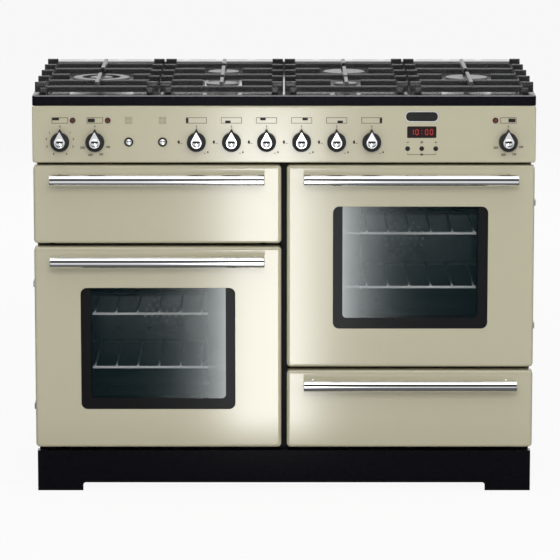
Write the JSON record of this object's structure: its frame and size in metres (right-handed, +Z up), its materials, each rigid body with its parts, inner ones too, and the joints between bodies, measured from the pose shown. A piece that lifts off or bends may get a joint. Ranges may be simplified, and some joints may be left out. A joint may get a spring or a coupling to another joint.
{
  "type": "dual fuel range cooker",
  "caption": "Free-standing range cooker with gas burners under cast-iron pan supports, side-hinged glazed ovens, a drop-down grill door and a storage drawer.",
  "frame": {"origin": "on the floor under the middle of the whole cooker, handles included", "axes": "+Z up, doors facing -Y, +X to the right of someone facing the doors"},
  "size_m": [1.096, 0.648, 0.906],
  "materials": {
    "cream_enamel": "glossy vitreous enamel",
    "black_enamel": "glossy black enamel",
    "black_paint": "satin black paint",
    "oven_enamel": "speckled grey-black enamel",
    "galvanised": "galvanised sheet",
    "brushed_steel": "brushed stainless steel",
    "chrome": "polished chrome",
    "cast_iron": "matt black enamelled cast iron",
    "burner_alloy": "cast aluminium",
    "gas_brass": "dull brass",
    "black_plastic": "gloss black moulding",
    "dark_lens": "dark red display lens",
    "neon_lens": "red lamp lens",
    "window_glass": "dark tinted glass",
    "element_steel": "oxidised heating rod",
    "zinc_steel": "zinc-plated steel"
  },
  "bodies": {
    "chassis": {"base_frame": "galvanised", "side_panel_left": "black_paint", "side_panel_right": "black_paint", "rear_panel": "galvanised", "front_frame": "black_paint", "plinth": "black_enamel", "levelling_feet": "zinc_steel", "hob_frame": "black_enamel", "hotplate": "brushed_steel", "burner_bodies": "burner_alloy", "burner_caps": "cast_iron", "gas_rail": "gas_brass", "control_panel": "cream_enamel", "control_switches": "black_plastic", "clock_display": "dark_lens", "indicator_lamps": "neon_lens", "oven_liner_left": "oven_enamel", "oven_liner_right": "oven_enamel", "grill_liner": "oven_enamel", "oven_racks": "chrome", "oven_fan_housings": "oven_enamel", "heating_elements": "element_steel", "slide_runners": "zinc_steel", "hinge_brackets": "zinc_steel", "terminal_box": "black_plastic"},
    "left_door": {"left_door_panel": "cream_enamel", "left_door_glass": "window_glass", "left_door_liner": "black_enamel", "left_door_handle": "chrome"},
    "right_door": {"right_door_panel": "cream_enamel", "right_door_glass": "window_glass", "right_door_liner": "black_enamel", "right_door_handle": "chrome"},
    "grill_door": {"grill_door_panel": "cream_enamel", "grill_door_liner": "black_enamel", "grill_door_handle": "chrome"},
    "drawer": {"drawer_front": "cream_enamel", "drawer_box": "galvanised", "drawer_handle": "chrome"},
    "grill_pan": {"grill_pan": "oven_enamel"},
    "fan_left": {"fan_left": "zinc_steel"},
    "fan_right": {"fan_right": "zinc_steel"},
    "light_button": {"light_button": "chrome"},
    "spark_button": {"spark_button": "chrome"},
    "knob_grill": {"knob_grill": "black_plastic"},
    "knob_left_oven": {"knob_left_oven": "black_plastic"},
    "knob_burner_1": {"knob_burner_1": "black_plastic"},
    "knob_burner_2": {"knob_burner_2": "black_plastic"},
    "knob_burner_3": {"knob_burner_3": "black_plastic"},
    "knob_burner_4": {"knob_burner_4": "black_plastic"},
    "knob_burner_5": {"knob_burner_5": "black_plastic"},
    "knob_burner_6": {"knob_burner_6": "black_plastic"},
    "knob_right_oven": {"knob_right_oven": "black_plastic"},
    "timer_button_1": {"timer_button_1": "black_plastic"},
    "timer_button_2": {"timer_button_2": "black_plastic"},
    "timer_button_3": {"timer_button_3": "black_plastic"},
    "pan_support_1": {"pan_support_1": "cast_iron"},
    "pan_support_2": {"pan_support_2": "cast_iron"},
    "pan_support_3": {"pan_support_3": "cast_iron"},
    "pan_support_4": {"pan_support_4": "cast_iron"}
  },
  "joints": [
    {"name": "door_left_swing", "type": "hinge", "parent": "chassis", "child": "left_door", "pos_m": [-0.537, -0.26, 0.3245], "axis": [0, 0, -1], "range_deg": [0, 100]},
    {"name": "door_right_swing", "type": "hinge", "parent": "chassis", "child": "right_door", "pos_m": [0.537, -0.26, 0.504], "axis": [0, 0, 1], "range_deg": [0, 100]},
    {"name": "drawer_slide", "type": "slide", "parent": "chassis", "child": "drawer", "axis": [0, -1, 0], "range_m": [0, 0.38]},
    {"name": "grill_door_drop", "type": "hinge", "parent": "chassis", "child": "grill_door", "pos_m": [-0.2755, -0.266, 0.567], "axis": [1, 0, 0], "range_deg": [0, 90]},
    {"name": "grill_pan_glide", "type": "slide", "parent": "chassis", "child": "grill_pan", "axis": [0, -1, 0], "range_m": [0, 0.1576]},
    {"name": "fan_left_spin", "type": "hinge", "parent": "chassis", "child": "fan_left", "pos_m": [-0.2755, 0.15, 0.3245], "axis": [0, 1, 0], "continuous": true},
    {"name": "fan_right_spin", "type": "hinge", "parent": "chassis", "child": "fan_right", "pos_m": [0.2755, 0.15, 0.504], "axis": [0, 1, 0], "continuous": true},
    {"name": "knob_grill_turn", "type": "hinge", "parent": "chassis", "child": "knob_grill", "pos_m": [-0.486, -0.28, 0.7786], "axis": [0, 1, 0], "range_deg": [-150, 150]},
    {"name": "knob_left_oven_turn", "type": "hinge", "parent": "chassis", "child": "knob_left_oven", "pos_m": [-0.41, -0.28, 0.7786], "axis": [0, 1, 0], "range_deg": [0, 300]},
    {"name": "knob_burner_1_turn", "type": "hinge", "parent": "chassis", "child": "knob_burner_1", "pos_m": [-0.19, -0.28, 0.7786], "axis": [0, -1, 0], "range_deg": [0, 240]},
    {"name": "knob_burner_2_turn", "type": "hinge", "parent": "chassis", "child": "knob_burner_2", "pos_m": [-0.114, -0.28, 0.7786], "axis": [0, -1, 0], "range_deg": [0, 240]},
    {"name": "knob_burner_3_turn", "type": "hinge", "parent": "chassis", "child": "knob_burner_3", "pos_m": [-0.038, -0.28, 0.7786], "axis": [0, -1, 0], "range_deg": [0, 240]},
    {"name": "knob_burner_4_turn", "type": "hinge", "parent": "chassis", "child": "knob_burner_4", "pos_m": [0.038, -0.28, 0.7786], "axis": [0, -1, 0], "range_deg": [0, 240]},
    {"name": "knob_burner_5_turn", "type": "hinge", "parent": "chassis", "child": "knob_burner_5", "pos_m": [0.114, -0.28, 0.7786], "axis": [0, -1, 0], "range_deg": [0, 240]},
    {"name": "knob_burner_6_turn", "type": "hinge", "parent": "chassis", "child": "knob_burner_6", "pos_m": [0.19, -0.28, 0.7786], "axis": [0, -1, 0], "range_deg": [0, 240]},
    {"name": "knob_right_oven_turn", "type": "hinge", "parent": "chassis", "child": "knob_right_oven", "pos_m": [0.486, -0.28, 0.7786], "axis": [0, 1, 0], "range_deg": [0, 300]},
    {"name": "push_light_button", "type": "slide", "parent": "chassis", "child": "light_button", "axis": [0, 1, 0], "range_m": [0, 0.003], "stiffness_N_per_m": 400},
    {"name": "push_spark_button", "type": "slide", "parent": "chassis", "child": "spark_button", "axis": [0, 1, 0], "range_m": [0, 0.003], "stiffness_N_per_m": 400},
    {"name": "push_timer_button_1", "type": "slide", "parent": "chassis", "child": "timer_button_1", "axis": [0, 1, 0], "range_m": [0, 0.0015], "stiffness_N_per_m": 300},
    {"name": "push_timer_button_2", "type": "slide", "parent": "chassis", "child": "timer_button_2", "axis": [0, 1, 0], "range_m": [0, 0.0015], "stiffness_N_per_m": 300},
    {"name": "push_timer_button_3", "type": "slide", "parent": "chassis", "child": "timer_button_3", "axis": [0, 1, 0], "range_m": [0, 0.0015], "stiffness_N_per_m": 300},
    {"name": "support_1_lift", "type": "slide", "parent": "chassis", "child": "pan_support_1", "axis": [0, 0, 1], "range_m": [0, 0.12]},
    {"name": "support_2_lift", "type": "slide", "parent": "chassis", "child": "pan_support_2", "axis": [0, 0, 1], "range_m": [0, 0.12]},
    {"name": "support_3_lift", "type": "slide", "parent": "chassis", "child": "pan_support_3", "axis": [0, 0, 1], "range_m": [0, 0.12]},
    {"name": "support_4_lift", "type": "slide", "parent": "chassis", "child": "pan_support_4", "axis": [0, 0, 1], "range_m": [0, 0.12]}
  ],
  "couplings": [
    {"joint": "grill_pan_glide", "follows": "grill_door_drop", "m_per_rad": 0.1}
  ]
}
